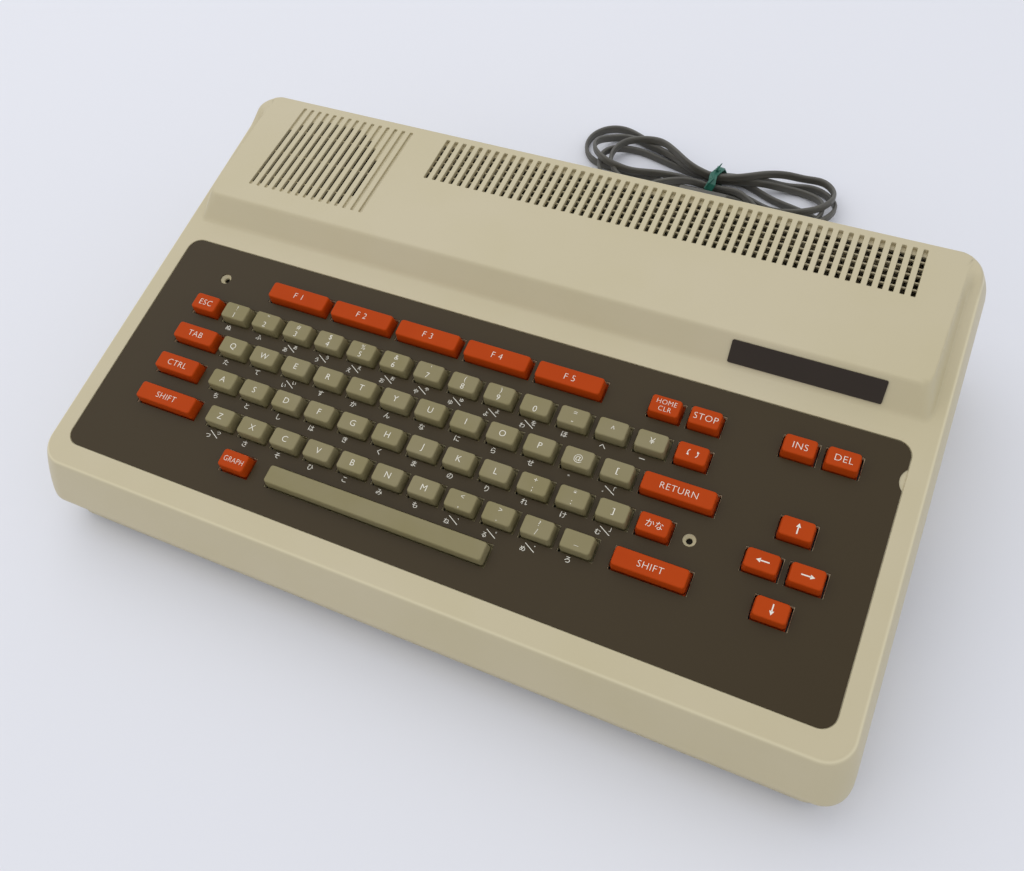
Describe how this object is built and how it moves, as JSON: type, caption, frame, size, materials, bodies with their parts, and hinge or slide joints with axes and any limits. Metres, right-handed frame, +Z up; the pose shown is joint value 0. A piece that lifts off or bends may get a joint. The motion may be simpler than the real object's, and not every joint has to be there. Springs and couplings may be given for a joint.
{
  "type": "home computer",
  "caption": "Home computer of the early eighties: cream wedge case with keyboard, rear hump with speaker grille and vents, cartridge bay, sockets and folded mains lead.",
  "frame": {"origin": "on the table under the middle of the case, between the feet", "axes": "+X to the user's right, +Y to the back, +Z up"},
  "size_m": [0.4192, 0.3814, 0.09],
  "materials": {
    "aluminium": "satin",
    "blade_brass": "satin",
    "cable_jacket": "satin",
    "chip_resin": "matte",
    "circuit_board": "satin",
    "cone_paper": "matte",
    "core_steel": "satin",
    "cream_case": "satin",
    "dark_plastic": "satin",
    "dome_rubber": "matte",
    "foot_rubber": "matte",
    "lead_pvc": "satin",
    "olive_keys": "satin",
    "orange_keys": "satin",
    "overlay_sheet": "satin",
    "plate_film": "satin",
    "screw_steel": "satin",
    "tie_wrap": "gloss",
    "zinc_steel": "satin"
  },
  "bodies": {
    "case": {"upper_case": "cream_case", "lower_case": "cream_case", "keyboard_overlay": "overlay_sheet", "nameplate": "plate_film", "guide_frame": "dark_plastic", "dome_sheet": "dome_rubber", "keyboard_board": "circuit_board", "backing_plate": "zinc_steel", "keyboard_screws": "screw_steel", "main_board": "circuit_board", "ic_chips": "chip_resin", "rf_modulator": "zinc_steel", "power_board": "circuit_board", "transformer": "core_steel", "heat_sink": "aluminium", "speaker_frame": "zinc_steel", "speaker_cone": "cone_paper", "rear_sockets": "dark_plastic", "joystick_ports": "dark_plastic", "cartridge_connector": "dark_plastic", "power_switch_body": "dark_plastic", "volume_control": "zinc_steel", "rubber_feet": "foot_rubber", "case_screws": "screw_steel", "ribbon_cable": "cable_jacket", "strain_relief": "lead_pvc", "power_cord": "lead_pvc", "cord_hank": "lead_pvc", "cord_tie": "tie_wrap", "plug_body": "lead_pvc", "plug_blades": "blade_brass"},
    "key_esc": {"key_esc": "orange_keys"},
    "key_mode": {"key_mode": "orange_keys"},
    "key_tab": {"key_tab": "orange_keys"},
    "key_return": {"key_return": "orange_keys"},
    "key_ctrl": {"key_ctrl": "orange_keys"},
    "key_kana": {"key_kana": "orange_keys"},
    "key_shift_left": {"key_shift_left": "orange_keys"},
    "key_shift_right": {"key_shift_right": "orange_keys"},
    "key_graph": {"key_graph": "orange_keys"},
    "key_space": {"key_space": "olive_keys"},
    "key_f1": {"key_f1": "orange_keys"},
    "key_f2": {"key_f2": "orange_keys"},
    "key_f3": {"key_f3": "orange_keys"},
    "key_f4": {"key_f4": "orange_keys"},
    "key_f5": {"key_f5": "orange_keys"},
    "key_home": {"key_home": "orange_keys"},
    "key_stop": {"key_stop": "orange_keys"},
    "key_insert": {"key_insert": "orange_keys"},
    "key_delete": {"key_delete": "orange_keys"},
    "key_up": {"key_up": "orange_keys"},
    "key_left": {"key_left": "orange_keys"},
    "key_right": {"key_right": "orange_keys"},
    "key_down": {"key_down": "orange_keys"},
    "keys_number_row": {"keys_number_row": "olive_keys"},
    "keys_upper_row": {"keys_upper_row": "olive_keys"},
    "keys_home_row": {"keys_home_row": "olive_keys"},
    "keys_lower_row": {"keys_lower_row": "olive_keys"},
    "power_rocker": {"power_rocker": "dark_plastic"},
    "volume_wheel": {"volume_wheel": "dark_plastic"}
  },
  "joints": [
    {"name": "key_esc_press", "type": "slide", "parent": "case", "child": "key_esc", "axis": [0, 0.1392, -0.9903], "range_m": [0, 0.0025], "stiffness_N_per_m": 200, "springref_m": -0.002, "deforming": ["dome_sheet"]},
    {"name": "key_mode_press", "type": "slide", "parent": "case", "child": "key_mode", "axis": [0, 0.1392, -0.9903], "range_m": [0, 0.0025], "stiffness_N_per_m": 200, "springref_m": -0.002, "deforming": ["dome_sheet"]},
    {"name": "key_tab_press", "type": "slide", "parent": "case", "child": "key_tab", "axis": [0, 0.1392, -0.9903], "range_m": [0, 0.0025], "stiffness_N_per_m": 200, "springref_m": -0.002, "deforming": ["dome_sheet"]},
    {"name": "key_return_press", "type": "slide", "parent": "case", "child": "key_return", "axis": [0, 0.1392, -0.9903], "range_m": [0, 0.0025], "stiffness_N_per_m": 200, "springref_m": -0.002, "deforming": ["dome_sheet"]},
    {"name": "key_ctrl_press", "type": "slide", "parent": "case", "child": "key_ctrl", "axis": [0, 0.1392, -0.9903], "range_m": [0, 0.0025], "stiffness_N_per_m": 200, "springref_m": -0.002, "deforming": ["dome_sheet"]},
    {"name": "key_kana_press", "type": "slide", "parent": "case", "child": "key_kana", "axis": [0, 0.1392, -0.9903], "range_m": [0, 0.0025], "stiffness_N_per_m": 200, "springref_m": -0.002, "deforming": ["dome_sheet"]},
    {"name": "key_shift_left_press", "type": "slide", "parent": "case", "child": "key_shift_left", "axis": [0, 0.1392, -0.9903], "range_m": [0, 0.0025], "stiffness_N_per_m": 200, "springref_m": -0.002, "deforming": ["dome_sheet"]},
    {"name": "key_shift_right_press", "type": "slide", "parent": "case", "child": "key_shift_right", "axis": [0, 0.1392, -0.9903], "range_m": [0, 0.0025], "stiffness_N_per_m": 200, "springref_m": -0.002, "deforming": ["dome_sheet"]},
    {"name": "key_graph_press", "type": "slide", "parent": "case", "child": "key_graph", "axis": [0, 0.1392, -0.9903], "range_m": [0, 0.0025], "stiffness_N_per_m": 200, "springref_m": -0.002, "deforming": ["dome_sheet"]},
    {"name": "key_space_press", "type": "slide", "parent": "case", "child": "key_space", "axis": [0, 0.1392, -0.9903], "range_m": [0, 0.0025], "stiffness_N_per_m": 200, "springref_m": -0.002, "deforming": ["dome_sheet"]},
    {"name": "key_f1_press", "type": "slide", "parent": "case", "child": "key_f1", "axis": [0, 0.1392, -0.9903], "range_m": [0, 0.0025], "stiffness_N_per_m": 200, "springref_m": -0.002, "deforming": ["dome_sheet"]},
    {"name": "key_f2_press", "type": "slide", "parent": "case", "child": "key_f2", "axis": [0, 0.1392, -0.9903], "range_m": [0, 0.0025], "stiffness_N_per_m": 200, "springref_m": -0.002, "deforming": ["dome_sheet"]},
    {"name": "key_f3_press", "type": "slide", "parent": "case", "child": "key_f3", "axis": [0, 0.1392, -0.9903], "range_m": [0, 0.0025], "stiffness_N_per_m": 200, "springref_m": -0.002, "deforming": ["dome_sheet"]},
    {"name": "key_f4_press", "type": "slide", "parent": "case", "child": "key_f4", "axis": [0, 0.1392, -0.9903], "range_m": [0, 0.0025], "stiffness_N_per_m": 200, "springref_m": -0.002, "deforming": ["dome_sheet"]},
    {"name": "key_f5_press", "type": "slide", "parent": "case", "child": "key_f5", "axis": [0, 0.1392, -0.9903], "range_m": [0, 0.0025], "stiffness_N_per_m": 200, "springref_m": -0.002, "deforming": ["dome_sheet"]},
    {"name": "key_home_press", "type": "slide", "parent": "case", "child": "key_home", "axis": [0, 0.1392, -0.9903], "range_m": [0, 0.0025], "stiffness_N_per_m": 200, "springref_m": -0.002, "deforming": ["dome_sheet"]},
    {"name": "key_stop_press", "type": "slide", "parent": "case", "child": "key_stop", "axis": [0, 0.1392, -0.9903], "range_m": [0, 0.0025], "stiffness_N_per_m": 200, "springref_m": -0.002, "deforming": ["dome_sheet"]},
    {"name": "key_insert_press", "type": "slide", "parent": "case", "child": "key_insert", "axis": [0, 0.1392, -0.9903], "range_m": [0, 0.0025], "stiffness_N_per_m": 200, "springref_m": -0.002, "deforming": ["dome_sheet"]},
    {"name": "key_delete_press", "type": "slide", "parent": "case", "child": "key_delete", "axis": [0, 0.1392, -0.9903], "range_m": [0, 0.0025], "stiffness_N_per_m": 200, "springref_m": -0.002, "deforming": ["dome_sheet"]},
    {"name": "key_up_press", "type": "slide", "parent": "case", "child": "key_up", "axis": [0, 0.1392, -0.9903], "range_m": [0, 0.0025], "stiffness_N_per_m": 200, "springref_m": -0.002, "deforming": ["dome_sheet"]},
    {"name": "key_left_press", "type": "slide", "parent": "case", "child": "key_left", "axis": [0, 0.1392, -0.9903], "range_m": [0, 0.0025], "stiffness_N_per_m": 200, "springref_m": -0.002, "deforming": ["dome_sheet"]},
    {"name": "key_right_press", "type": "slide", "parent": "case", "child": "key_right", "axis": [0, 0.1392, -0.9903], "range_m": [0, 0.0025], "stiffness_N_per_m": 200, "springref_m": -0.002, "deforming": ["dome_sheet"]},
    {"name": "key_down_press", "type": "slide", "parent": "case", "child": "key_down", "axis": [0, 0.1392, -0.9903], "range_m": [0, 0.0025], "stiffness_N_per_m": 200, "springref_m": -0.002, "deforming": ["dome_sheet"]},
    {"name": "keys_number_row_press", "type": "slide", "parent": "case", "child": "keys_number_row", "axis": [0, 0.1392, -0.9903], "range_m": [0, 0.0025], "stiffness_N_per_m": 400, "springref_m": -0.0025, "deforming": ["dome_sheet"]},
    {"name": "keys_upper_row_press", "type": "slide", "parent": "case", "child": "keys_upper_row", "axis": [0, 0.1392, -0.9903], "range_m": [0, 0.0025], "stiffness_N_per_m": 400, "springref_m": -0.0025, "deforming": ["dome_sheet"]},
    {"name": "keys_home_row_press", "type": "slide", "parent": "case", "child": "keys_home_row", "axis": [0, 0.1392, -0.9903], "range_m": [0, 0.0025], "stiffness_N_per_m": 400, "springref_m": -0.0025, "deforming": ["dome_sheet"]},
    {"name": "keys_lower_row_press", "type": "slide", "parent": "case", "child": "keys_lower_row", "axis": [0, 0.1392, -0.9903], "range_m": [0, 0.0025], "stiffness_N_per_m": 400, "springref_m": -0.0025, "deforming": ["dome_sheet"]},
    {"name": "power_rocker_tilt", "type": "hinge", "parent": "case", "child": "power_rocker", "pos_m": [0.096, 0.1247, 0.03], "axis": [1, 0, 0], "range_deg": [0, 12]},
    {"name": "volume_wheel_turn", "type": "hinge", "parent": "case", "child": "volume_wheel", "pos_m": [-0.1961, 0.066, 0.027], "axis": [0, 0, 1], "range_deg": [-140, 140]}
  ]
}
